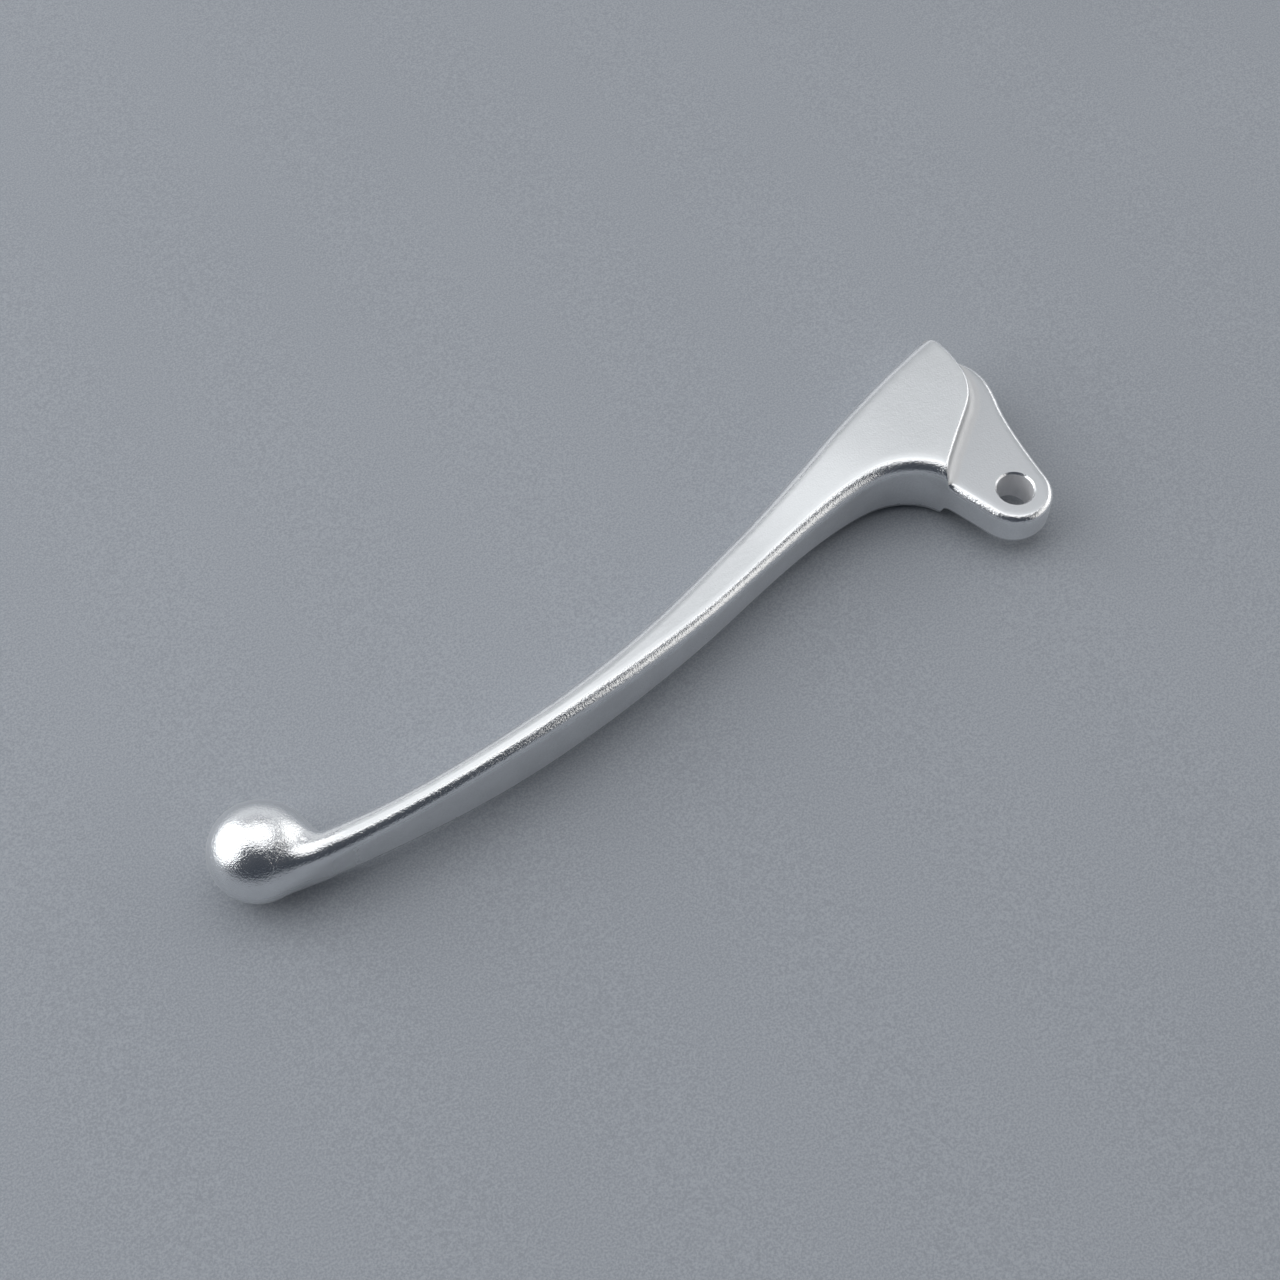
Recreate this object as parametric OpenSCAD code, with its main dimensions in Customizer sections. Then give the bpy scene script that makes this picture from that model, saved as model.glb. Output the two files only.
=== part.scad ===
// Ball-end clutch lever for the left side of a motorcycle handlebar: one aluminium casting.
// Origin at the middle of the pivot hole, +Z up the pivot, -X out to the ball, +Y to the front of the bike.

/* [Pivot and cable end] */
// diameter of the pivot hole
pivot_bore = 8; // [6:0.1:10]
// radius of the round end of the tongue about the pivot
pivot_end_r = 8.3; // [7:0.1:12]
// thickness of the flat tongue that goes between the jaws of the bracket
tongue_t = 9; // [7:0.1:11]
// rounding along the edges of the tongue
tongue_edge = 1.8; // [0.5:0.1:3]
// chamfer at the upper mouth of the pivot hole
bore_chamfer_top = 0.4; // [0.2:0.1:1]
// chamfer at the lower mouth of the pivot hole
bore_chamfer_low = 0.8; // [0.2:0.1:1.4]
// diameter of the blind seat for the cable nipple, open on the underside
nipple_seat = 8.4; // [7:0.1:9]
// distance of the cable nipple from the pivot, front to back
nipple_arm = 27.4; // [25:0.1:29]
// sideways distance of the cable nipple from the pivot
nipple_side = 5; // [4:0.1:6]
// width of the slot for the cable
cable_slot = 3; // [2:0.1:4]

/* [Root] */
// thickness of the root block behind the step
root_t = 16.7; // [13:0.1:18]
// rounding along the long edges of the root and blade
edge_r = 3; // [1.5:0.1:3.2]
// small round along the top of the step
step_edge = 0.7; // [0.3:0.1:1.5]
// hollow round at the foot of the step
step_foot = 2; // [1:0.1:3]

/* [Blade] */
// thickness at the narrow waist next to the root
waist_t = 11.9; // [10:0.1:14]
// greatest thickness of the finger grip
grip_t = 16; // [12:0.1:17]
// thickness at the neck beside the ball
neck_t = 12.6; // [9:0.1:14]
// how far the neck, grip and waist lie from the pivot
neck_x = -163; // [-170:1:-150]
grip_x = -118; // [-130:1:-100]
waist_x = -58; // [-70:1:-50]
crotch_x = -14; // [-20:1:-10]

/* [Ball] */
// diameter of the ball
ball_d = 20.4; // [16:0.1:22]
// distance of the ball from the pivot
ball_x = -176.2; // [-180:0.1:-165]
// front to back place of the ball
ball_y = -0.3; // [-1:0.1:1]

/* [Hidden] */
$fn = 96;
half_root = root_t / 2;
half_tongue = tongue_t / 2;
round_steps = 5;
face_steps = 8;
// how far a cutter runs out past the surface it opens
clear = 2;

// the side that faces the handlebar, from the ball to the crotch by the tongue
bar_side = [
  [[-174.5, -10.2], [-172.5, -10.5], [-168, -10.5], [-164, -10.4]],
  [[-164, -10.4], [-129, -10.5], [-97, -5.6], [-68.4, 3.8]],
  [[-68.4, 3.8], [-55.1, 8.2], [-35.5, 14.9], [-25.5, 14.9]],
  [[-25.5, 14.9], [-19.5, 14.9], [-14.3, 11.8], [-12.5, 7.8]]
];
// the side the fingers pull, from the ball to the front corner of the root
finger_side = [
  [[-171.5, 3], [-168.6, 0.6], [-166, -3.4], [-161, -4.3]],
  [[-161, -4.3], [-130, -6.8], [-98, 1.9], [-71.3, 12.4]],
  [[-71.3, 12.4], [-57, 18.2], [-43, 23.8], [-29, 30.4]],
  [[-29, 30.4], [-18.5, 34.9], [-8, 39.4], [4.2, 43]]
];
// the step, from the crotch to the front corner
step_line = [
  [[-12.5, 7.8], [-11.4, 10.2], [-2.4, 18], [2.3, 22.3]],
  [[2.3, 22.3], [5.2, 25], [6.6, 29], [6.3, 33]],
  [[6.3, 33], [6, 36.4], [5.4, 39.8], [4.2, 43]]
];
// how much of the step the tongue comes out of
tongue_share = 0.833;
// the two sides of the tongue, from the step to the round end, where the left one meets it at end_turn
end_turn = 204;
tongue_left = [
  [-12.5, 7.8], [-10.9, 4.2], [-9.2, 0.3],
  pivot_end_r * [cos(end_turn), sin(end_turn)]
];
tongue_nose = [
  [[5.6, 38.1], [7, 37.2], [10.9, 34.6], [11.3, 28.8]],
  [[11.3, 28.8], [11.3, 25.4], [10.4, 22.4], [9.7, 19.7]],
  [[9.7, 19.7], [8.7, 14.6], [8.3, 7], [8.3, 0]]
];

function mix(a, b, t) = a + (b - a) * t;
function bez(p, t) =
  p[0] * pow(1 - t, 3) + p[1] * 3 * t * pow(1 - t, 2) + p[2] * 3 * t * t * (1 - t) + p[3] * pow(t, 3);
// walk a chain of curves: whole number picks the curve, the rest is the place on it
function chain(c, u) = let (k = max(min(floor(u), len(c) - 1), 0)) bez(c[k], u - k);
function unit(v) = v / max(norm(v), 0.000001);
function left_of(v) = [-v[1], v[0]];
function ease(t) = (1 - cos(180 * min(max(t, 0), 1))) / 2;
function half_at(x) =
  x < grip_x ? mix(neck_t, grip_t, ease((x - neck_x) / (grip_x - neck_x))) / 2
  : x < waist_x ? mix(grip_t, waist_t, ease((x - grip_x) / (waist_x - grip_x))) / 2
  : mix(waist_t, root_t, ease((x - waist_x) / (crotch_x - waist_x))) / 2;

// one rib across the lever, from the bar side (q = 0) to the finger side (q = 1)
function body_swell(u) = u < 3 ? 0 : pow(u - 3, 2);
function body_rib(u, q) =
  let (a = chain(bar_side, u), b = chain(finger_side, u))
  let (over = chain(step_line, 3 * q) - mix(bar_side[3][3], finger_side[3][3], q))
  mix(a, b, q) + over * body_swell(u);
function tongue_swell(u) = pow(1 - min(u, 1), 2);
function round_end(from, u) = mix(from, 270, u - 1);
function tongue_a(u) =
  u <= 1 ? bez(tongue_left, u)
  : pivot_end_r * [cos(round_end(end_turn, u)), sin(round_end(end_turn, u))];
function tongue_b(u) =
  u <= 1 ? chain(tongue_nose, 3 * u) : pivot_end_r * [cos(round_end(360, u)), sin(round_end(360, u))];
function step_low(q) = chain(step_line, 3 * q * tongue_share);
function tongue_rib(u, q) =
  let (over = step_low(q) - mix(tongue_left[0], tongue_nose[0][0], q))
  mix(tongue_a(u), tongue_b(u), q) + over * tongue_swell(u);

// station kinds: 0 = root and blade, 1 = tongue
function rib(s, q) = s[0] == 0 ? body_rib(s[1], q) : tongue_rib(s[1], q);
function side_dir(s, e) =
  let (d = 0.002)
  let (v = s[0] == 0
    ? (e == 0 ? chain(bar_side, s[1]) - chain(bar_side, s[1] - d)
              : chain(finger_side, s[1]) - chain(finger_side, s[1] - d))
    : (e == 0 ? tongue_a(s[1]) - tongue_a(s[1] - d) : tongue_b(s[1]) - tongue_b(s[1] - d)))
  unit(v);
function inward(s, e) = e == 0 ? left_of(side_dir(s, 0)) : -left_of(side_dir(s, 1));
function rib_dir(s, e) = e == 0 ? unit(rib(s, 0.02) - rib(s, 0)) : unit(rib(s, 0.98) - rib(s, 1));
function run_dir(s, e) =
  let (n = inward(s, e), turn = s[0] == 0 ? 0 : min(s[1] * 1.6, 1))
  let (d = unit(mix(rib_dir(s, e), n, turn)))
  d / max(d * n, 0.5);

// a station is [kind, place, half thickness, edge rounding]
body_places = concat(
  [for (i = [0:4]) i / 5],
  [for (i = [0:15]) 1 + i / 16],
  [for (i = [0:9]) 2 + i / 10],
  [for (i = [0:7]) 3 + i / 8]
);
tongue_places = concat([for (i = [2:12]) i / 12], [for (i = [1:7]) 1 + i / 7]);
function end_half(u) = u < 1 ? mix(2.6, half_at(neck_x), sqrt(u)) : half_at(chain(bar_side, u)[0]);
function end_edge(u) =
  min(edge_r, end_half(u) - 0.1, norm(chain(finger_side, u) - chain(bar_side, u)) * 0.48 - 0.1);
foot = [half_tongue, tongue_edge];
stations = concat(
  [for (u = body_places) [0, u, end_half(u), end_edge(u)]],
  [
    [0, 3.985, half_root, edge_r],
    [0, 3.995, half_root - 0.3 * step_edge, edge_r],
    [0, 4, half_root - step_edge, edge_r - 0.3],
    [1, 0.012, foot[0] + step_foot, foot[1] + 0.6],
    [1, 0.035, foot[0] + 0.35 * step_foot, foot[1] + 0.2],
    [1, 0.09, foot[0] + 0.04, foot[1]]
  ],
  [for (u = tongue_places) [1, u, foot[0], foot[1]]]
);

// one closed ring of points round a station, starting on the bar-side wall
function edge_pt(s, e, a) =
  let (w = rib(s, e), d = run_dir(s, e), r = s[3])
  let (p = w + d * r * (1 - cos(a)))
  [p[0], p[1], s[2] - r + r * sin(a)];
// the flat run between the two roundings follows the rib, so a curved rib keeps its line
function reach_in(s, e) =
  let (start = rib(s, e), near = rib(s, e == 0 ? 0.05 : 0.95))
  min(0.05 * norm(run_dir(s, e)) * s[3] / max(norm(near - start), 0.001), 0.49);
function top_pt(s, t) =
  let (qa = reach_in(s, 0), qb = 1 - reach_in(s, 1))
  let (a = edge_pt(s, 0, 90), b = edge_pt(s, 1, 90), ra = rib(s, qa), rb = rib(s, qb))
  let (p = rib(s, mix(qa, qb, t)))
  [
    p[0] + (a[0] - ra[0]) * (1 - t) + (b[0] - rb[0]) * t,
    p[1] + (a[1] - ra[1]) * (1 - t) + (b[1] - rb[1]) * t,
    s[2]
  ];
function upper(s) = concat(
  [for (i = [0:round_steps]) edge_pt(s, 0, 90 * i / round_steps)],
  [for (i = [1:face_steps - 1]) top_pt(s, i / face_steps)],
  [for (i = [round_steps:-1:0]) edge_pt(s, 1, 90 * i / round_steps)]
);
function lower(pts) = [for (i = [len(pts) - 1:-1:0]) [pts[i][0], pts[i][1], -pts[i][2]]];
half_count = 2 * round_steps + face_steps + 1;
ring_count = 2 * half_count;
last = len(stations) - 1;
// the round end closes on itself: both sides of the last ring share their points
function fold(i) = min(i, half_count - 1 - i, round_steps);
function shared(k, i) =
  k < last ? k * ring_count + i
  : i < half_count ? k * ring_count + fold(i)
  : k * ring_count + ring_count - 1 - fold(i - half_count);
function is_tri(t) = t[0] != t[1] && t[1] != t[2] && t[2] != t[0];

module shank() {
  points = [for (s = stations) let (u = upper(s)) each concat(u, lower(u))];
  skin = [
    for (k = [0:last - 1], i = [0:ring_count - 1])
      let (j = (i + 1) % ring_count)
      let (a = shared(k, i), b = shared(k, j), c = shared(k + 1, j), d = shared(k + 1, i))
      each [[a, b, c], [a, c, d]]
  ];
  polyhedron(
    points = points,
    faces = concat([[for (i = [ring_count - 1:-1:0]) i]], [for (t = skin) if (is_tri(t)) t]),
    convexity = 8
  );
}

module pivot_hole() {
  cylinder(d = pivot_bore, h = root_t + 2 * clear, center = true);
  translate([0, 0, half_tongue - bore_chamfer_top])
    cylinder(r1 = pivot_bore / 2, r2 = pivot_bore / 2 + clear, h = clear);
  translate([0, 0, -half_tongue + bore_chamfer_low - clear])
    cylinder(r1 = pivot_bore / 2 + clear, r2 = pivot_bore / 2, h = clear);
}

module nipple_pocket() {
  seat_roof = 2;
  slot_top = cable_slot / 2;
  slot_run = 14;
  open_end = -half_root - clear;
  translate([nipple_side, nipple_arm, open_end])
    cylinder(d = nipple_seat, h = seat_roof - open_end);
  translate([nipple_side, nipple_arm - cable_slot / 2, open_end])
    cube([slot_run, cable_slot, slot_top - open_end]);
}

module lever() {
  color([0.78, 0.79, 0.8])
    difference() {
      union() {
        shank();
        translate([ball_x, ball_y, 0])
          sphere(d = ball_d);
      }
      pivot_hole();
      nipple_pocket();
    }
}

lever();
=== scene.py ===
import math

import bmesh
import bpy
from mathutils import Matrix, Vector


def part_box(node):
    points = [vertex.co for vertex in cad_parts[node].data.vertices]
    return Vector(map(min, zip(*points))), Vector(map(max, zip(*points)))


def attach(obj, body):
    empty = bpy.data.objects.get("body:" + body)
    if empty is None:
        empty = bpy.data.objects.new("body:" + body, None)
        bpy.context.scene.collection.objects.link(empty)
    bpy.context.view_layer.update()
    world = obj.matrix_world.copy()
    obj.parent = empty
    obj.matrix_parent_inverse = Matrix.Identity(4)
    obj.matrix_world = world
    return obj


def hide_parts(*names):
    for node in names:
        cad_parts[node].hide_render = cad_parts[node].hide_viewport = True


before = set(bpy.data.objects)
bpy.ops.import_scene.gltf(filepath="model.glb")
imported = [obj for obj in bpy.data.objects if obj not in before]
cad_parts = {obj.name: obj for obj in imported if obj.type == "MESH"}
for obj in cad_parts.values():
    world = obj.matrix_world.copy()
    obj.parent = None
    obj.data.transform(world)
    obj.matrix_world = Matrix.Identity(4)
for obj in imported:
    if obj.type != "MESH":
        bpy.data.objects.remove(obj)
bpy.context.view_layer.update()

scene = bpy.context.scene
scene.view_settings.view_transform = "Standard"
leverLow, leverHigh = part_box("lever")
print("frame loaded: lever box", tuple(leverLow), tuple(leverHigh))

mm = 0.001


def mix(a, b, t):
    return a + (b - a) * t


def ease(t):
    t = min(max(t, 0.0), 1.0)
    return t * t * (3 - 2 * t)


def swing(t):
    return (1 - math.cos(math.pi * min(max(t, 0.0), 1.0))) / 2


def bezier(p, t):
    s = 1 - t
    return Vector([
        p[0][i] * s ** 3 + p[1][i] * 3 * s * s * t + p[2][i] * 3 * s * t * t + p[3][i] * t ** 3
        for i in range(2)
    ])


def along(curves, u):
    k = max(min(int(math.floor(u)), len(curves) - 1), 0)
    return bezier(curves[k], u - k)


# the lever is one casting, lofted ring by ring from the ball to the round end of the tongue

leverShape = {  # millimetres, from the middle of the pivot hole
    "barSide": [
        [(-174.5, -10.2), (-172.5, -10.5), (-168, -10.5), (-164, -10.4)],
        [(-164, -10.4), (-129, -10.5), (-97, -5.6), (-68.4, 3.8)],
        [(-68.4, 3.8), (-55.1, 8.2), (-35.5, 14.9), (-25.5, 14.9)],
        [(-25.5, 14.9), (-19.5, 14.9), (-14.3, 11.8), (-12.5, 7.8)],
    ],
    "fingerSide": [
        [(-171.5, 3), (-168.6, 0.6), (-166, -3.4), (-161, -4.3)],
        [(-161, -4.3), (-130, -6.8), (-98, 1.9), (-71.3, 12.4)],
        [(-71.3, 12.4), (-57, 18.2), (-43, 23.8), (-29, 30.4)],
        [(-29, 30.4), (-18.5, 34.9), (-8, 39.4), (4.2, 43)],
    ],
    "stepLine": [
        [(-12.5, 7.8), (-11.4, 10.2), (-2.4, 18), (2.3, 22.3)],
        [(2.3, 22.3), (5.2, 25), (6.6, 29), (6.3, 33)],
        [(6.3, 33), (6, 36.4), (5.4, 39.8), (4.2, 43)],
    ],
    "frontCorner": [(3.0, 42.65), (4.0, 42.95), (4.55, 42.55), (4.75, 41.5)],
    "tongueLeft": [(-12.5, 7.8), (-10.9, 4.2), (-9.2, 0.3), (-7.582, -3.376)],
    "tongueNose": [
        [(5.59, 38.07), (7, 37.2), (10.9, 34.6), (11.3, 28.8)],
        [(11.3, 28.8), (11.3, 25.4), (10.4, 22.4), (9.7, 19.7)],
        [(9.7, 19.7), (8.7, 14.6), (8.3, 7), (8.3, 0)],
    ],
    "roundEnd": 8.3,
    "leftTurn": 204.0,       # degrees round the pivot where the tongue's left side meets the round end
    "rootHalf": 8.35,
    "tongueHalf": 4.5,
    "tongueEdge": 1.8,
    "stepEdge": 0.7,
    "stepFoot": 1.8,
    "neckHalf": 6.3, "neckX": -163.0,
    "gripHalf": 8.0, "gripX": -118.0,
    "waistHalf": 5.95, "waistX": -58.0,
    "crotchX": -14.0,
    "ballCentre": (-176.2, -0.3),
    "ballRadius": 10.2,
    "ballReach": 11.0,       # the ball is a little longer towards the neck
    "fingerBlend": 5.0,      # how far the hollow beside the ball reaches, on the finger side
    "topBlend": 1.8,         # and over the top
    "barBlend": 3.5,         # and by the corner on the bar side
    "blendRun": 6.0,         # the hollow grows to full size over this length
    "smoothFrom": -175.4, "smoothTo": -162.5, "smoothPasses": 5,
    "bladeInset": 0.8,       # how much slimmer the blade's section starts inside the ball
    "insetRun": 7.0,         # and over what length it grows to full size
    "neckEdge": 2.9, "neckRim": 0.05,    # rounding of that section, and the least flat left beside it
    "neckSpread": 0.1,       # the section reaches this far past the blade on the finger side
    "leastBlend": 0.15,
    "hollowFrom": 20, "hollowRun": 40,   # degrees from the bar side over which the hollow sets in
    "searchReach": 14.0, "searchPasses": 22,
    "longEdge": 3.1, "waistEdge": 2.5,   # rounding of the long edges, tighter about edgeX
    "edgeX": -68, "edgeRun": 17,
    "leastFlat": 0.12,       # flat left between two roundings that meet
    "paceProbe": 0.05,       # share of a rib on which its pace is measured
    "mostRounding": 0.49,    # most of a rib that one rounding takes
    "runProbe": 0.03,        # share of a rib on which its direction is measured
    "wallSteps": 5, "cornerSteps": 6, "faceSteps": 12,
    "capSteps": 24, "ballSteps": 30, "bladeSteps": (46, 26, 22), "tongueSteps": (24, 16),
    "sharpAngle": 32,
}
sideStep = 0.003        # how far back along a side its direction is measured
leastSquare = 0.5       # a rounding is never stretched to more than twice its width
tiny = 0.001            # keeps a length in millimetres off nought
polePatch = 1.5         # how far round the ball's tip to look for its open rim, in gaps
poleWeld = 0.00001      # metres
ringWeld = 0.000004
cutterWeld = 0.000001

shape = leverShape
halfWall = shape["wallSteps"]
ringCount = 4 * halfWall + 4 * shape["cornerSteps"] + 2 * shape["faceSteps"]


def bladeHalf(x):
    if x < shape["gripX"]:
        t = (x - shape["neckX"]) / (shape["gripX"] - shape["neckX"])
        return mix(shape["neckHalf"], shape["gripHalf"], swing(t))
    if x < shape["waistX"]:
        t = (x - shape["gripX"]) / (shape["waistX"] - shape["gripX"])
        return mix(shape["gripHalf"], shape["waistHalf"], swing(t))
    t = (x - shape["waistX"]) / (shape["crotchX"] - shape["waistX"])
    return mix(shape["waistHalf"], shape["rootHalf"], swing(t))


def bladeEdge(x, reach=math.inf):
    # rounding of the long edges, tighter at the waist and never more than reach
    waist = math.exp(-((x - shape["edgeX"]) / shape["edgeRun"]) ** 2)
    return min(mix(shape["longEdge"], shape["waistEdge"], waist), reach - shape["leastFlat"])


def flatRing(rib, inA, inB, half, edge):
    # one closed ring: rib(q) runs across the lever, inA and inB point inwards from its two walls
    steps, corner = shape["faceSteps"], shape["cornerSteps"]
    a, b = rib(0.0), rib(1.0)
    topA, topB = a + inA * edge, b + inB * edge
    upper = [(a.x, a.y, (half - edge) * i / halfWall) for i in range(halfWall)]
    for i in range(corner):
        t = math.radians(90 * i / corner)
        p = a + inA * edge * (1 - math.cos(t))
        upper.append((p.x, p.y, half - edge + edge * math.sin(t)))
    # the flat run between the two roundings follows the rib, so a curved rib keeps its line
    probe, most = shape["paceProbe"], shape["mostRounding"]
    paceA = max((rib(probe) - a).length, tiny)
    paceB = max((rib(1 - probe) - b).length, tiny)
    startQ = min(inA.length * edge / paceA * probe, most)
    endQ = 1 - min(inB.length * edge / paceB * probe, most)
    for i in range(steps + 1):
        t = i / steps
        p = rib(mix(startQ, endQ, t)) + (topA - rib(startQ)) * (1 - t) + (topB - rib(endQ)) * t
        upper.append((p.x, p.y, half))
    for i in range(corner - 1, -1, -1):
        t = math.radians(90 * i / corner)
        p = b + inB * edge * (1 - math.cos(t))
        upper.append((p.x, p.y, half - edge + edge * math.sin(t)))
    upper += [(b.x, b.y, (half - edge) * i / halfWall) for i in range(halfWall - 1, -1, -1)]
    lower = [(x, y, -z) for x, y, z in reversed(upper[1:-1])]
    return upper + lower


def sideways(curve, u, left):
    # unit vector square to a side at u, pointing left or right of its run
    run = (along(curve, u) - along(curve, u - sideStep)).normalized()
    return Vector((-run.y, run.x)) * (1 if left else -1)


def inwardAlong(direction, square):
    # follow the rib's own direction, but keep the rounding's true width
    return direction / max(direction.dot(square), leastSquare)


def ribRuns(rib):
    # the rib's own direction inwards at each of its ends
    probe = shape["runProbe"]
    return (rib(probe) - rib(0)).normalized(), (rib(1 - probe) - rib(1)).normalized()


fingerBack = -0.033     # the finger side starts this far before its curve, level with the bar side
fingerFirst = 1.01      # where on it a direction is first measured
barLast, fingerLast = 3.999, 3.99    # and where on each side one is last measured, at the step


def fingerAt(u):
    if u >= 2:
        return along(shape["fingerSide"], u)
    return bezier(shape["fingerSide"][1], mix(fingerBack, 1, u - 1))


barStop, fingerStop = 0.07, 0.032    # where the top of the root stops short of the step
lowShare, footShare = 0.8333, 0.787  # how much of the step the tongue meets, at the wall and past the foot
tongueStart = {"left": 0.2, "nose": 0.32}    # where the foot ends on the tongue's two sides
probeStep = 0.004       # how far along a curve its direction is measured
endPull = 6             # the step's ends are drawn in only near the outlines


def stepNormal(q):
    run = along(shape["stepLine"], 3 * q + probeStep) - along(shape["stepLine"], 3 * q - probeStep)
    run.normalize()
    return Vector((run.y, -run.x))


def stepRib(q, offset, endA, endB, share=1.0):
    # the step's line moved sideways by offset, with its ends drawn onto the two outlines
    base = along(shape["stepLine"], 3 * q * share) + stepNormal(q * share) * offset
    first = along(shape["stepLine"], 0) + stepNormal(0) * offset
    final = along(shape["stepLine"], 3 * share) + stepNormal(share) * offset
    return base + (endA - first) * (1 - q) ** endPull + (endB - final) * q ** endPull


rootEnds = (along(shape["barSide"], 4 - barStop), Vector(shape["frontCorner"][0]))


def rootTopEdge(q):
    return stepRib(q, -shape["stepEdge"], *rootEnds)


def bladeRib(u):
    near = along(shape["barSide"], u if u < 3 else 3 + (u - 3) * (1 - barStop))
    far = fingerAt(u if u < 3 else 3 + (u - 3) * (1 - fingerStop))
    swell = max(u - 3, 0) ** 2

    def rib(q):
        return mix(near, far, q) + (rootTopEdge(q) - mix(*rootEnds, q)) * swell

    return rib


def bladeRing(u):
    rib = bladeRib(u)
    a, b = rib(0), rib(1)
    squareA = sideways(shape["barSide"], min(u, 4 - barStop), True)
    squareB = sideways(shape["fingerSide"], max(min(u, 4 - fingerStop), fingerFirst), False)
    x = (a.x + b.x) / 2 if u < 3 else mix((a.x + b.x) / 2, a.x, u - 3)
    runA, runB = ribRuns(rib)
    inA, inB = inwardAlong(runA, squareA), inwardAlong(runB, squareB)
    reach = (b - a).length / (inA.length + inB.length)
    return flatRing(rib, inA, inB, bladeHalf(a.x), bladeEdge(x, reach))


stepShape = {   # shares of a curve, or millimetres
    "roundSteps": 5, "lowSteps": 4, "footSteps": 6,
    "bareShares": (0.95, 0.9, 0.86, lowShare),   # the bare end of the root, beside the tongue
    "leftSlide": 0.004, "noseSlide": 0.01,       # each ring starts a little further along the tongue
    "drop": 0.03, "wallDrop": 0.1,               # and a little lower
    "edgeLoss": 0.1,
    "footLeft": 0.034, "footNose": 0.045,        # where the foot starts on the tongue's two sides
    "lowRounding": 0.7, "footRounding": 0.6,
}


def stepRings():
    rings = []
    step = stepShape
    root, tongue = shape["rootHalf"], shape["tongueHalf"]
    edge, foot = shape["stepEdge"], shape["stepFoot"]
    squareA = sideways(shape["barSide"], barLast, True)
    squareB = sideways(shape["fingerSide"], fingerLast, False)
    rootEdge = bladeEdge(0)
    lostEdge = rootEdge - step["edgeLoss"]
    rootLow = root - edge

    def add(rib, half, rounding):
        runA, runB = ribRuns(rib)
        rings.append(flatRing(rib, inwardAlong(runA, squareA), inwardAlong(runB, squareB), half, rounding))

    for k in range(1, step["roundSteps"] + 1):       # the small round over the top of the step
        part = k / step["roundSteps"]
        t = math.radians(90 * part)
        offset = -edge * (1 - math.sin(t))
        endA = along(shape["barSide"], 4 - barStop * (1 - math.sin(t)))
        endB = bezier(shape["frontCorner"], part)
        rounding = rootEdge - step["edgeLoss"] * k / step["roundSteps"]
        add(lambda q: stepRib(q, offset, endA, endB), rootLow + edge * math.cos(t), rounding)
    slide = 0
    for share in step["bareShares"]:
        slide += 1
        endA = bezier(shape["tongueLeft"], step["leftSlide"] * slide)
        endB = along(shape["stepLine"], 3 * share)
        add(lambda q: stepRib(q, 0, endA, endB, share), rootLow - step["drop"] * slide, lostEdge)
    for k in range(1, step["lowSteps"]):
        slide += 1
        part = k / step["lowSteps"]
        half = mix(rootLow - step["wallDrop"], tongue + foot, part)
        endA = bezier(shape["tongueLeft"], step["leftSlide"] * slide)
        endB = bezier(shape["tongueNose"][0], step["noseSlide"] * k)
        rounding = mix(lostEdge, shape["tongueEdge"] + step["lowRounding"], part)
        add(lambda q: stepRib(q, 0, endA, endB, lowShare), half, rounding)
    for k in range(step["footSteps"] + 1):       # the hollow at the foot of the step
        t = math.radians(90 * k / step["footSteps"])
        offset = foot * (1 - math.cos(t))
        half = tongue + foot * (1 - math.sin(t))
        share = mix(lowShare, footShare, offset / foot)
        endA = bezier(shape["tongueLeft"], mix(step["footLeft"], tongueStart["left"], offset / foot))
        endB = bezier(shape["tongueNose"][0], mix(step["footNose"], tongueStart["nose"], offset / foot))
        rounding = mix(shape["tongueEdge"] + step["footRounding"], shape["tongueEdge"], math.sin(t))
        add(lambda q: stepRib(q, offset, endA, endB, share), half, rounding)
    return rings


def tongueSide(u, left):
    # u runs 0 to 1 along the side and 1 to 2 round the end
    if u <= 1:
        if left:
            return bezier(shape["tongueLeft"], mix(tongueStart["left"], 1, u))
        return along(shape["tongueNose"], mix(tongueStart["nose"], 3, u))
    turn = mix(shape["leftTurn"] if left else 360.0, 270.0, u - 1)
    return Vector((math.cos(math.radians(turn)), math.sin(math.radians(turn)))) * shape["roundEnd"]


squareSoon = 1.6     # the roundings run square to the sides from 1 / squareSoon of the way on
lastRib = 1.98       # beyond this the rib is too short to have a direction


def tongueRing(u):
    foot = shape["stepFoot"]
    startA, startB = tongueSide(0, True), tongueSide(0, False)
    a, b = tongueSide(u, True), tongueSide(u, False)
    fade = (1 - min(u, 1)) ** 2

    def rib(q):
        over = stepRib(q, foot, startA, startB, footShare) - mix(startA, startB, q)
        return mix(a, b, q) + over * fade

    squares = []
    for left in (True, False):
        if u <= 1:
            run = tongueSide(u, left) - tongueSide(u - probeStep, left)
            run.normalize()
            squares.append(Vector((-run.y, run.x)) * (1 if left else -1))
        else:
            squares.append(-tongueSide(u, left).normalized())
    turn = min(u * squareSoon, 1)
    runs = squares if u > lastRib else ribRuns(rib)
    inside = [inwardAlong(mix(runs[i], squares[i], turn).normalized(), squares[i]) for i in range(2)]
    return flatRing(rib, inside[0], inside[1], shape["tongueHalf"], shape["tongueEdge"])


# the ball end: each ring is cut square to x, and its points are found outwards from a middle line

neckRing = bladeRing(1.0)
neckX = shape["barSide"][1][0][0]
neckMid = Vector(((neckRing[0][1] + neckRing[ringCount // 2][1]) / 2, 0))
neckTurns = []
for p in neckRing:
    neckTurns.append(math.atan2(p[2], -(p[1] - neckMid.x)) % (2 * math.pi))


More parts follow.
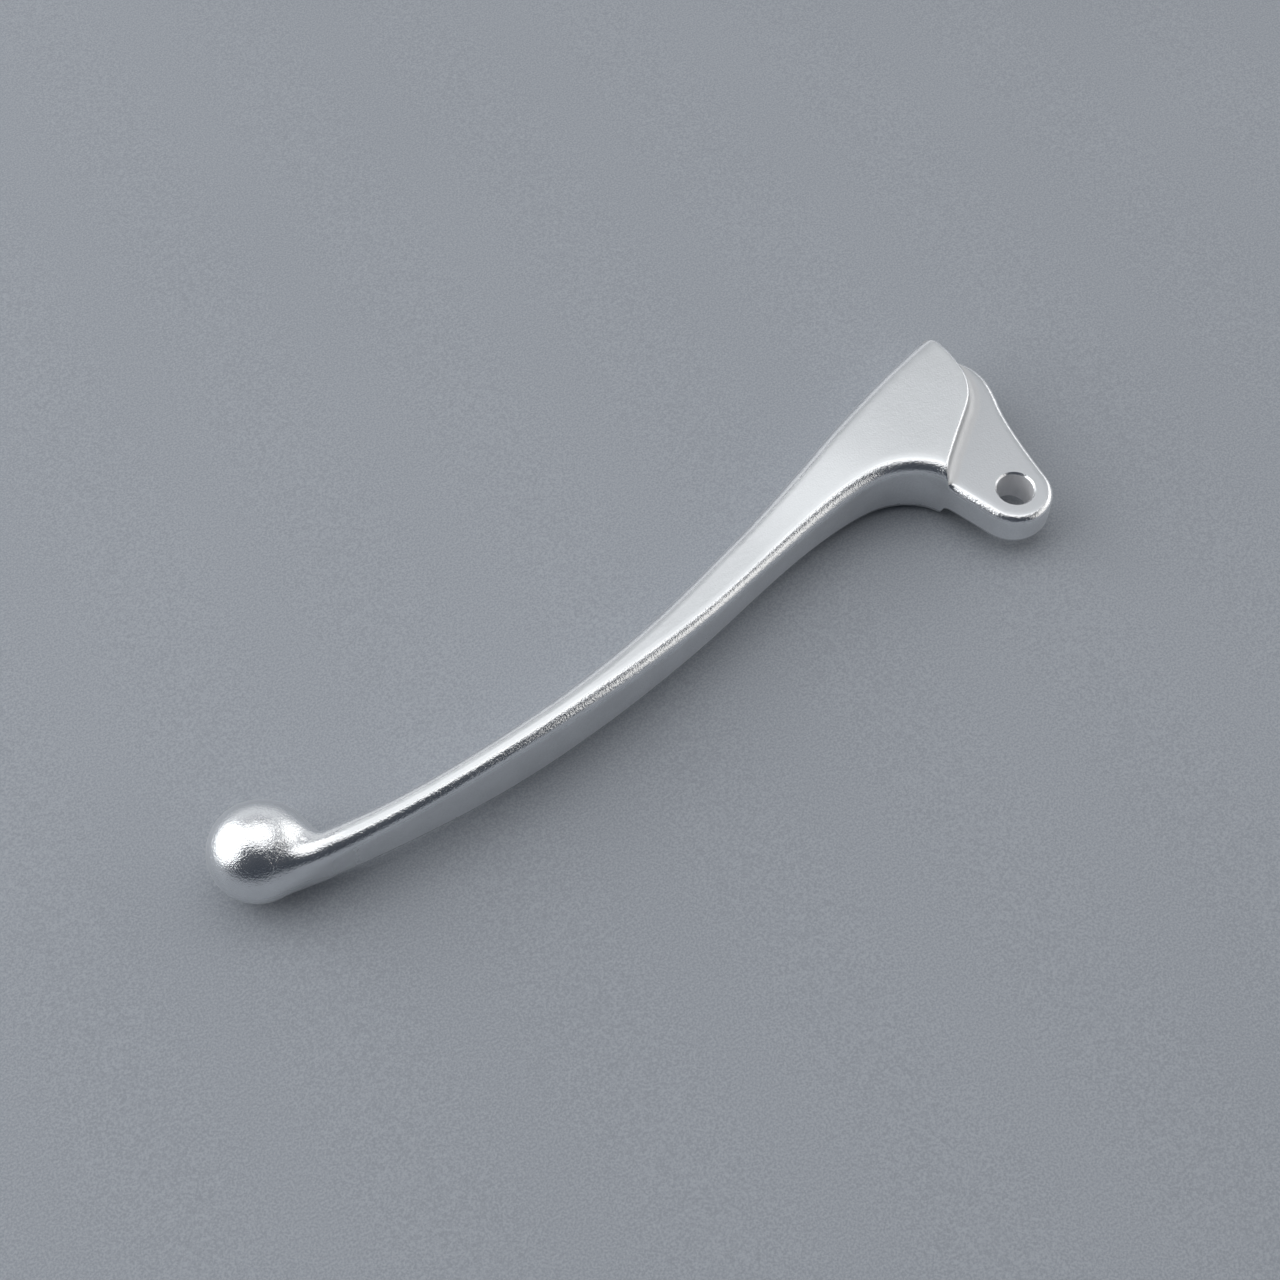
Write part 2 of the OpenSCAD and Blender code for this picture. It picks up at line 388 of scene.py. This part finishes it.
def ballEnd(x):
    centreX, centreY = shape["ballCentre"]
    radius = shape["ballRadius"]
    share = ease((x - centreX) / (neckX - centreX))
    middle = mix(centreY, neckMid.x, share)
    barY, fingerY = neckRing[0][1], neckRing[ringCount // 2][1] + shape["neckSpread"]
    inset = shape["bladeInset"] * (1 - ease((x - centreX) / shape["insetRun"]))
    wide, half = (fingerY - barY) / 2 - inset, shape["neckHalf"] - inset
    edge = min(shape["neckEdge"], wide - shape["neckRim"])
    ring = []
    for i in range(ringCount):
        uniform = 2 * math.pi * i / ringCount
        turn = mix(uniform, neckTurns[i], share)
        out = Vector((-math.cos(turn), math.sin(turn)))
        far = shape["fingerBlend"] if math.cos(turn) < 0 else shape["barBlend"]
        reach = mix(shape["topBlend"], far, abs(math.cos(turn)))
        reach = max(reach * ease((x - centreX) / shape["blendRun"]), shape["leastBlend"])

        def field(r):
            y, z = middle + out.x * r, out.y * r
            run = (x - centreX) * radius / shape["ballReach"]
            ball = math.sqrt(run ** 2 + (y - centreY) ** 2 + z * z) - radius
            qy = abs(y - (barY + fingerY) / 2) - wide + edge
            qz = abs(z) - half + edge
            blade = math.hypot(max(qy, 0), max(qz, 0)) + min(max(qy, qz), 0) - edge
            blade = max(blade, centreX - x)
            h = max(reach - abs(ball - blade), 0) / reach
            return min(ball, blade) - h * h * reach / 4

        low, high = 0.0, shape["searchReach"]
        for _ in range(shape["searchPasses"]):
            r = (low + high) / 2
            if field(r) < 0:
                low = r
            else:
                high = r
        union = Vector((middle + out.x * low, out.y * low))
        # the bar side runs straight from the ball's widest circle into the blade
        circle = Vector((centreY - math.cos(uniform) * radius, math.sin(uniform) * radius))
        neck = Vector((neckRing[i][1], neckRing[i][2]))
        straight = mix(circle, neck, share)
        away = math.degrees(math.acos(max(min(math.cos(turn), 1), -1)))
        hollow = ease((away - shape["hollowFrom"]) / shape["hollowRun"])
        p = mix(straight, union, hollow) if x > centreX else union
        ring.append((x, p.x, p.y))
    return ring


def ballRings():
    centreX, centreY = shape["ballCentre"]
    radius = shape["ballRadius"]
    rings = []
    for k in range(1, shape["capSteps"] + 1):       # the round cap beyond the ball's widest circle
        t = math.radians(90 * k / shape["capSteps"])
        x, r = centreX - radius * math.cos(t), radius * math.sin(t)
        turns = [2 * math.pi * i / ringCount for i in range(ringCount)]
        rings.append([(x, centreY - math.cos(turn) * r, math.sin(turn) * r) for turn in turns])
    for k in range(1, shape["ballSteps"]):
        rings.append(ballEnd(mix(centreX, neckX, k / shape["ballSteps"])))
    return rings


def loft(rings):
    # a first ring of points, then one extrusion for each ring, moved into place
    made = bmesh.new()
    start = bmesh.ops.create_circle(made, cap_ends=False, segments=len(rings[0]), radius=1.0)
    made.verts.ensure_lookup_table()
    loop = list(start["verts"])
    for vert, place in zip(loop, rings[0]):
        vert.co = Vector(place) * mm
    for ring in rings[1:]:
        edges = [made.edges.get((loop[i], loop[(i + 1) % len(loop)])) for i in range(len(loop))]
        grown = bmesh.ops.extrude_edge_only(made, edges=edges)
        fresh = [v for v in grown["geom"] if isinstance(v, bmesh.types.BMVert)]
        # each new point is the one joined to its old point by the extrusion
        known = set(fresh)
        step = []
        for vert in loop:
            step.append(next(e.other_vert(vert) for e in vert.link_edges if e.other_vert(vert) in known))
        loop = step
        for vert, place in zip(loop, ring):
            vert.co = Vector(place) * mm
    return made


def closePole(made, place):
    # extrude the open rim at the ball's tip to a point
    rim = [e for e in made.edges if len(e.link_faces) == 1]
    tip = Vector(place) * mm
    near = min(rim, key=lambda e: (e.verts[0].co - tip).length)
    reach = (near.verts[0].co - tip).length * polePatch
    rim = [e for e in rim if all((v.co - tip).length < reach for v in e.verts)]
    grown = bmesh.ops.extrude_edge_only(made, edges=rim)
    fresh = [v for v in grown["geom"] if isinstance(v, bmesh.types.BMVert)]
    for vert in fresh:
        vert.co = tip
    bmesh.ops.remove_doubles(made, verts=fresh, dist=poleWeld)


def bladePlaces():
    first, second, third = shape["bladeSteps"]
    places = [1 + i / first for i in range(first)]
    places += [2 + i / second for i in range(second)]
    places += [3 + i / third for i in range(third + 1)]
    return places


def tonguePlaces():
    side, end = shape["tongueSteps"]
    return [i / side for i in range(1, side + 1)] + [1 + i / end for i in range(1, end + 1)]


rings = ballRings()
rings += [bladeRing(u) for u in bladePlaces()]
rings += stepRings()
rings += [tongueRing(u) for u in tonguePlaces()]
print("rings worked out:", len(rings), "of", ringCount, "points")

leverMade = loft(rings)
centreX, centreY = shape["ballCentre"]
closePole(leverMade, (centreX - shape["ballRadius"], centreY, 0))
bmesh.ops.remove_doubles(leverMade, verts=leverMade.verts, dist=ringWeld)
neckVerts = [v for v in leverMade.verts if shape["smoothFrom"] < v.co.x / mm < shape["smoothTo"]]
for _ in range(shape["smoothPasses"]):
    bmesh.ops.smooth_vert(
        leverMade, verts=neckVerts, factor=0.5, use_axis_x=False, use_axis_y=True, use_axis_z=True)
bmesh.ops.recalc_face_normals(leverMade, faces=leverMade.faces)
print("loft closed:", all(e.is_manifold for e in leverMade.edges), len(leverMade.faces), "faces")


def asObject(name, made):
    mesh = bpy.data.meshes.new(name)
    made.to_mesh(mesh)
    made.free()
    obj = bpy.data.objects.new(name, mesh)
    scene.collection.objects.link(obj)
    return obj


def applyModifiers(obj):
    # keep what the modifiers make, and drop the modifiers
    graph = bpy.context.evaluated_depsgraph_get()
    final = bpy.data.meshes.new_from_object(obj.evaluated_get(graph))
    obj.modifiers.clear()
    obj.data = final


leverCasting = asObject("leverCasting", leverMade)
smooth = leverCasting.modifiers.new("smooth", "SUBSURF")
smooth.levels = 1
smooth.render_levels = 1
applyModifiers(leverCasting)

# the holes are cut with spun and boxed cutters

holeShape = {   # millimetres
    "boreRadius": 4.0,
    "topChamfer": 0.4,
    "lowChamfer": 0.8,
    "seatRadius": 4.2, "seatAt": (5.0, 27.4), "seatRoof": 2.0,
    "slotWidth": 3.0, "slotTop": 1.5, "slotLength": 14.0,
    "overrun": 3, "below": 12,       # how far the cutters run past the metal
    "facets": 100,
}
hole = holeShape


def spunCutter(name, profile, at):
    # a closed profile of radius and height, spun round an upright axis
    made = bmesh.new()
    points = [made.verts.new((r * mm, 0, z * mm)) for r, z in profile]
    for first, second in zip(points, points[1:]):
        made.edges.new((first, second))
    bmesh.ops.spin(
        made, geom=made.verts[:] + made.edges[:], cent=(0, 0, 0), axis=(0, 0, 1),
        angle=2 * math.pi, steps=hole["facets"], use_merge=True, use_duplicate=False,
    )
    bmesh.ops.remove_doubles(made, verts=made.verts, dist=cutterWeld)
    bmesh.ops.recalc_face_normals(made, faces=made.faces)
    bmesh.ops.translate(made, verts=made.verts, vec=Vector((at[0], at[1], 0)) * mm)
    return asObject(name, made)


def cut(target, cutter):
    boolean = target.modifiers.new("cut", "BOOLEAN")
    boolean.operation = "DIFFERENCE"
    boolean.solver = "EXACT"
    boolean.object = cutter
    applyModifiers(target)
    bpy.data.objects.remove(cutter)


bore, top, low, past = hole["boreRadius"], shape["tongueHalf"], -shape["tongueHalf"], hole["overrun"]
boreProfile = [
    (0, top + past), (bore + hole["topChamfer"] + past, top + past), (bore, top - hole["topChamfer"]),
    (bore, low + hole["lowChamfer"]), (bore + hole["lowChamfer"] + past, low - past), (0, low - past),
]
cut(leverCasting, spunCutter("boreCutter", boreProfile, (0, 0)))
seat, roof, below = hole["seatRadius"], hole["seatRoof"], hole["below"]
seatProfile = [(0, roof), (seat, roof), (seat, -below), (0, -below)]
cut(leverCasting, spunCutter("seatCutter", seatProfile, hole["seatAt"]))
slotMade = bmesh.new()
bmesh.ops.create_cube(slotMade, size=1.0)
seatX, seatY = hole["seatAt"]
tall = hole["slotTop"] + below
slotSize = Vector((hole["slotLength"], hole["slotWidth"], tall))
slotPlace = Vector((seatX + hole["slotLength"] / 2, seatY, hole["slotTop"] - tall / 2))
bmesh.ops.scale(slotMade, vec=slotSize * mm, verts=slotMade.verts)
bmesh.ops.translate(slotMade, vec=slotPlace * mm, verts=slotMade.verts)
cut(leverCasting, asObject("slotCutter", slotMade))
leverCasting.data.shade_smooth()
leverCasting.data.set_sharp_from_angle(angle=math.radians(shape["sharpAngle"]))
print("holes cut:", len(leverCasting.data.polygons), "faces")


# shader helpers

class Wire:
    # one socket, so that sums on it add Math nodes
    def __init__(self, finish, socket):
        self.finish, self.socket = finish, socket

    def maths(self, operation, first, second):
        return self.finish.node("ShaderNodeMath", {"operation": operation}, {0: first, 1: second})

    def __add__(self, other):
        return self.maths("ADD", self, other)

    def __radd__(self, other):
        return self.maths("ADD", other, self)

    def __sub__(self, other):
        return self.maths("SUBTRACT", self, other)

    def __rsub__(self, other):
        return self.maths("SUBTRACT", other, self)

    def __mul__(self, other):
        return self.maths("MULTIPLY", self, other)

    def __rmul__(self, other):
        return self.maths("MULTIPLY", other, self)

    def __pow__(self, other):
        return self.maths("POWER", self, other)


class Finish:
    def __init__(self, owner):
        # owner is a new material, or the world
        self.owner = owner
        owner.use_nodes = True
        self.tree = owner.node_tree
        self.tree.nodes.clear()

    def node(self, kind, settings=None, inputs=None, out=0):
        made = self.tree.nodes.new(kind)
        for name, value in (settings or {}).items():
            setattr(made, name, value)
        for name, value in (inputs or {}).items():
            if isinstance(value, Wire):
                self.tree.links.new(value.socket, made.inputs[name])
            else:
                made.inputs[name].default_value = value
        return Wire(self, made.outputs[out]) if made.outputs else None

    def grain(self, place, scale, detail, roughness, stretch=None, turn=0.0):
        # soft random pattern, with scale in features per metre
        if stretch:
            place = self.node("ShaderNodeMapping", None, {
                "Vector": place, "Scale": stretch, "Rotation": (0, 0, turn)})
        return self.node("ShaderNodeTexNoise", None, {
            "Vector": place, "Scale": scale, "Detail": detail, "Roughness": roughness}, "Fac")

    def between(self, value, low, high):
        # 0 at low, 1 at high, and eased in between
        return self.node("ShaderNodeMapRange", {"clamp": True, "interpolation_type": "SMOOTHSTEP"}, {
            "Value": value, "From Min": low, "From Max": high})

    def blend(self, amount, first, second):
        # Mix node for colours: sockets 6 and 7 are its two colours, and its third output is the colour
        return self.node("ShaderNodeMix", {"data_type": "RGBA"}, {0: amount, 6: first, 7: second}, 2)

    def ending(self, kind, shader):
        self.node(kind, None, {"Surface": shader})
        return self.owner


maskNames = ("flatness", "wall", "tongue", "drilled", "roughShadedFoot")
castFinish = {
    "bright": (0.88, 0.89, 0.90, 1),
    "dull": (0.80, 0.81, 0.82, 1),
    # the flat faces' satin finish is real, and its colour is also darkened as painted shade on the top and
    # bottom faces
    "satin": (0.655, 0.672, 0.682, 1),
    "tongue": (0.54, 0.555, 0.57, 1),
    # painted shade: the darker colour in the hollow at the foot of the step
    "roughShadedFoot": (0.58, 0.585, 0.59, 1),
    "drilled": (0.80, 0.80, 0.81, 1),
    "satinLift": 1.04,       # the satin's paler tone
    "toneFrom": 0.35, "toneTo": 0.65,
    "drilledMetal": 0.35,    # the reamed wall scatters light more than it shines
    "polishedRoughness": 0.11, "polishedSwing": 0.10,
    "satinRoughness": 0.38, "satinSwing": 0.06, "brushedSwing": 0.10,
    "wallRoughness": 0.30, "wallSwing": 0.1,
    "unreachedRoughness": 0.55,
    "drilledRoughness": 0.42, "drilledSwing": 0.3,
    "hazeRoughness": 0.48,
    "hazeShare": 0.16,       # how much of the shine is the wide haze that buffing leaves
    "wallHaze": 0.40,        # more of it on the upright walls
    "rimHaze": 0.45,         # and where the surface turns away
    "rimPower": 3,
    "grains": {   # features per metre, detail, roughness, and for streaks a stretch and a turn
        "mottle": (160, 3.0, 0.55),
        "peel": (800, 3.0, 0.6),
        "speck": (2600, 2.0, 0.6),
        "brushed": (900, 3.0, 0.6, (0.12, 1, 1), -0.35),
        "reamed": (1500, 2.0, 0.6, (1, 1, 0.15)),
    },
    "peelRelief": 0.7, "peelWorn": 0.5,      # height on the polish, and how much of it the flats lose
    "speckRelief": 1.25, "speckWorn": 0.8,
    "brushedRelief": 0.25, "reamedRelief": 3,
    "relief": 0.00007,       # metres
}


def castMaterial():
    f = Finish(bpy.data.materials.new("polishedCasting"))
    cast = castFinish
    place = f.node("ShaderNodeTexCoord", None, None, "Object")
    masks = [f.node("ShaderNodeAttribute", {"attribute_name": name}, None, "Fac") for name in maskNames]
    flat, wall, tongue, drilled, roughShadedFoot = masks
    mottle, peel, speck, brushed, reamed = [f.grain(place, *grain) for grain in cast["grains"].values()]
    rough = cast["polishedRoughness"] + (peel - 0.5) * cast["polishedSwing"]
    satin = cast["satinRoughness"] + (mottle - 0.5) * cast["satinSwing"]
    satin = satin + (brushed - 0.5) * cast["brushedSwing"]
    upright = cast["wallRoughness"] + (peel - 0.5) * cast["wallSwing"]
    bored = cast["drilledRoughness"] + (reamed - 0.5) * cast["drilledSwing"]
    rough = rough * (1 - flat) + satin * flat
    rough = rough * (1 - wall) + upright * wall
    rough = rough * (1 - roughShadedFoot) + cast["unreachedRoughness"] * roughShadedFoot
    rough = rough * (1 - drilled) + bored * drilled
    tone = f.between(mottle * 0.5 + speck * 0.5, cast["toneFrom"], cast["toneTo"])
    paleSatin = [min(v * cast["satinLift"], 1) for v in cast["satin"]]
    colour = f.blend(tone, cast["dull"], cast["bright"])
    # flat faces take the satin colour: a real satin finish, darkened further as painted shade
    colour = f.blend(flat, colour, f.blend(tone, cast["satin"], paleSatin))
    colour = f.blend(tongue * flat, colour, cast["tongue"])
    # painted shade darkens the hollow at the foot of the step
    colour = f.blend(roughShadedFoot, colour, cast["roughShadedFoot"])
    colour = f.blend(drilled, colour, cast["drilled"])
    height = peel * (cast["peelRelief"] - flat * cast["peelWorn"])
    height = height + speck * (cast["speckRelief"] - flat * cast["speckWorn"])
    height = height + brushed * flat * cast["brushedRelief"] + reamed * drilled * cast["reamedRelief"]
    bump = f.node("ShaderNodeBump", None, {
        "Strength": 1.0, "Distance": cast["relief"], "Height": height}, "Normal")
    metallic = 1 - drilled * (1 - cast["drilledMetal"])
    metal = {"Base Color": colour, "Metallic": metallic, "Normal": bump}
    shine = f.node("ShaderNodeBsdfPrincipled", None, {**metal, "Roughness": rough})
    haze = f.node("ShaderNodeBsdfPrincipled", None, {**metal, "Roughness": cast["hazeRoughness"]})
    facing = f.node("ShaderNodeLayerWeight", None, {"Blend": 0.5}, "Facing")
    rim = facing ** cast["rimPower"] * (1 - wall)
    hazeShare = cast["hazeShare"] + wall * cast["wallHaze"] + rim * cast["rimHaze"]
    both = f.node("ShaderNodeMixShader", None, {0: hazeShare, 1: shine, 2: haze})
    return f.ending("ShaderNodeOutputMaterial", both)


maskShape = {   # millimetres, and how far a surface faces up, from 0 to 1
    "flatFrom": 0.93, "flatRun": 0.06,
    "wallTo": 0.35, "wallRun": 0.25,
    "beyondBallX": -166, "beyondBallRun": 8,     # the ball itself is polished all over
    "tongueX": -13, "tongueZ": 4.55,
    "holeMargin": 0.02, "roofMargin": 0.1, "seatMouth": -8.3,
    "footLow": 4.45, "footHigh": 7.75, "footX": -12.2,
    "footReach": 2.8, "footFade": 0.8,
    "dots": 60,
}
masking = maskShape
dots = masking["dots"]
stepDots = [along(shape["stepLine"], 3 * i / dots) for i in range(dots + 1)]


def nearStep(p):
    # inside the hollow at the foot of the step: rougher there, and darkened there as painted shade
    if abs(p.z) < masking["footLow"] or abs(p.z) > masking["footHigh"] or p.x < masking["footX"]:
        return 0.0
    gap = min((Vector((p.x, p.y)) - dot).length for dot in stepDots)
    return ease((masking["footReach"] - gap) / masking["footFade"])


def insideHole(p):
    seatMiddle, margin = Vector(hole["seatAt"]), masking["holeMargin"]
    if math.hypot(p.x, p.y) < hole["boreRadius"] + margin:
        return 1.0
    inSeat = math.hypot(p.x - seatMiddle.x, p.y - seatMiddle.y) < hole["seatRadius"] + margin
    return 1.0 if inSeat and masking["seatMouth"] < p.z < hole["seatRoof"] + masking["roofMargin"] else 0.0


def markFaces(obj):
    # masks kept on the face corners: flat-topped, upright, on the tongue, in a hole, and the hollow at the
    # step's foot, which is rougher and carries painted shade
    mesh = obj.data
    ups = [abs(normal.vector.z) for normal in mesh.corner_normals]
    places = [vert.co / mm for vert in mesh.vertices]
    stepMask = [nearStep(p) for p in places]
    masks = {name: [0.0] * len(ups) for name in maskNames}
    for poly in mesh.polygons:
        inside = insideHole(poly.center / mm)
        for corner in poly.loop_indices:
            vert = mesh.loops[corner].vertex_index
            p, up = places[vert], ups[corner]
            beyondBall = ease((p.x - masking["beyondBallX"]) / masking["beyondBallRun"])
            onTongue = p.x > masking["tongueX"] and abs(p.z) < masking["tongueZ"]
            masks["flatness"][corner] = ease((up - masking["flatFrom"]) / masking["flatRun"]) * beyondBall
            masks["wall"][corner] = ease((masking["wallTo"] - up) / masking["wallRun"]) * beyondBall
            masks["tongue"][corner] = 1.0 if onTongue else 0.0
            masks["drilled"][corner] = inside
            masks["roughShadedFoot"][corner] = stepMask[vert]
    # each mask is made and filled in turn, because adding one moves the others in memory
    for name, values in masks.items():
        mesh.attributes.new(name, "FLOAT", "CORNER").data.foreach_set("value", values)


markFaces(leverCasting)
leverCasting.data.materials.clear()
leverCasting.data.materials.append(castMaterial())
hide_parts("lever")
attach(leverCasting, "root")
print("lever finished")

floorShape = {   # metres, with the slope as rise over run
    "size": 3.0, "segments": 8,
    "slope": 0.0102,
    "under": (-0.1762, -0.0102),     # the ball's lowest point, along and up
    "gap": 0.00003,
}
parts, slope = floorShape["segments"], floorShape["slope"]
underX, underZ = floorShape["under"]
floorMade = bmesh.new()
bmesh.ops.create_grid(floorMade, x_segments=parts, y_segments=parts, size=floorShape["size"])
tilt = Matrix.Rotation(-slope, 3, "Y")
bmesh.ops.rotate(floorMade, cent=(0, 0, 0), matrix=tilt, verts=floorMade.verts)
rise = underZ - slope * underX - floorShape["gap"]
bmesh.ops.translate(floorMade, vec=(0, 0, rise), verts=floorMade.verts)
floor = asObject("floor", floorMade)

paperFinish = {
    "fibre": (2300, 2.0, 0.7), "cloud": (9, 2.0, 0.5),       # features per metre, detail, roughness
    "fibreShare": 0.9, "toneFrom": 0.34, "toneTo": 0.66,
    "dark": (0.262, 0.281, 0.308, 1), "pale": (0.344, 0.365, 0.396, 1),
    "roughness": 0.85, "gloss": 0.3,
    "bump": 0.35, "relief": 0.00006,
}


def paperMaterial():
    f = Finish(bpy.data.materials.new("greyPaper"))
    paper = paperFinish
    place = f.node("ShaderNodeTexCoord", None, None, "Object")
    fibre, cloud = f.grain(place, *paper["fibre"]), f.grain(place, *paper["cloud"])
    blotch = fibre * paper["fibreShare"] + cloud * (1 - paper["fibreShare"])
    tone = f.between(blotch, paper["toneFrom"], paper["toneTo"])
    colour = f.blend(tone, paper["dark"], paper["pale"])
    bump = f.node("ShaderNodeBump", None, {
        "Strength": paper["bump"], "Distance": paper["relief"], "Height": fibre}, "Normal")
    sheet = f.node("ShaderNodeBsdfPrincipled", None, {
        "Base Color": colour, "Roughness": paper["roughness"],
        "Specular IOR Level": paper["gloss"], "Normal": bump})
    return f.ending("ShaderNodeOutputMaterial", sheet)


floor.data.materials.append(paperMaterial())
print("floor laid")

turnToView = math.radians(28.275)    # turns the room square to the camera's heading
roomCentre = Vector((-0.09, 0.005, 0))
endOn = 0.8     # a light that faces this much along the room's right takes its side from away


def roomPoint(right, away, up):
    c, s = math.cos(turnToView), math.sin(turnToView)
    return roomCentre + Vector((right * c + away * s, -right * s + away * c, up))


def softbox(name, outline, at, target, wide, tall, radiance, colour):
    light = bpy.data.lights.new(name, "AREA")
    light.shape = outline
    light.size, light.size_y = wide, tall
    area = wide * tall * (math.pi / 4 if outline == "ELLIPSE" else 1)
    light.energy = radiance * math.pi * area
    light.color = colour
    lamp = bpy.data.objects.new(name, light)
    scene.collection.objects.link(lamp)
    spot, aim = roomPoint(*at), roomPoint(*target)
    back = (spot - aim).normalized()
    sideDir = roomPoint(1, 0, 0) - roomPoint(0, 0, 0)
    if abs(back.dot(sideDir)) > endOn:
        sideDir = roomPoint(0, 1, 0) - roomPoint(0, 0, 0)
    up = back.cross(sideDir).normalized()
    sideDir = up.cross(back).normalized()
    lamp.matrix_world = Matrix((
        (sideDir.x, up.x, back.x, spot.x),
        (sideDir.y, up.y, back.y, spot.y),
        (sideDir.z, up.z, back.z, spot.z),
        (0, 0, 0, 1),
    ))


underBall = (-0.073, -0.046, 0)      # the ball's place in the room
lights = {  # outline, place and aim as right, away and up in metres, width, height, radiance, colour
    "overhead": ("RECTANGLE", (0.05, 0.21, 0.90), (0.05, 0.21, 0), 1.08, 0.99, 1.25, (1, 1, 1)),
    "leftWindow": ("ELLIPSE", (-0.93, -0.015, 0.515), underBall, 1.35, 1.35, 2.1, (0.98, 0.99, 1)),
    "rightPanel": ("RECTANGLE", (0.768, 0.126, 0.271), underBall, 1.38, 0.57, 1.0, (1, 0.98, 0.95)),
}
for name, spec in lights.items():
    softbox(name, *spec)


roomColours = {
    "front": (0.035, 0.043, 0.058, 1),
    "low": (0.70, 0.72, 0.75, 1), "high": (0.26, 0.27, 0.29, 1),
    "heights": (0.50, 0.66), "behind": (-0.05, 0.25),
}


def roomWorld():
    # the room is pale low down behind the lever, dimmer above that, and dark in front
    f = Finish(bpy.data.worlds.new("room"))
    heading = f.node("ShaderNodeTexCoord", None, None, "Generated")
    away = roomPoint(0, 1, 0) - roomPoint(0, 0, 0)
    behind = f.node("ShaderNodeVectorMath", {"operation": "DOT_PRODUCT"}, {0: heading, 1: away}, "Value")
    height = f.node("ShaderNodeVectorMath", {"operation": "DOT_PRODUCT"}, {0: heading, 1: (0, 0, 1)}, "Value")
    room = roomColours
    pale = f.blend(f.between(height, *room["heights"]), room["low"], room["high"])
    colour = f.blend(f.between(behind, *room["behind"]), room["front"], pale)
    glow = f.node("ShaderNodeBackground", None, {"Color": colour, "Strength": 1.0})
    return f.ending("ShaderNodeOutputWorld", glow)


scene.world = roomWorld()
print("lights set")

cameraShape = {
    "at": (-0.19021, -0.18327, 0.35455),
    "right": (0.8807, -0.4737, 0.0),
    "up": (0.4045, 0.7520, 0.5204),
    "lens": 56.25, "sensor": 36, "clipStart": 0.01,
}
lens = bpy.data.cameras.new("camera")
lens.lens = cameraShape["lens"]
lens.sensor_width = cameraShape["sensor"]
lens.clip_start = cameraShape["clipStart"]
camera = bpy.data.objects.new("camera", lens)
scene.collection.objects.link(camera)
right = Vector(cameraShape["right"]).normalized()
up = Vector(cameraShape["up"]).normalized()
back = right.cross(up)
camera.matrix_world = Matrix((
    (right.x, up.x, back.x, cameraShape["at"][0]),
    (right.y, up.y, back.y, cameraShape["at"][1]),
    (right.z, up.z, back.z, cameraShape["at"][2]),
    (0, 0, 0, 1),
))
scene.camera = camera
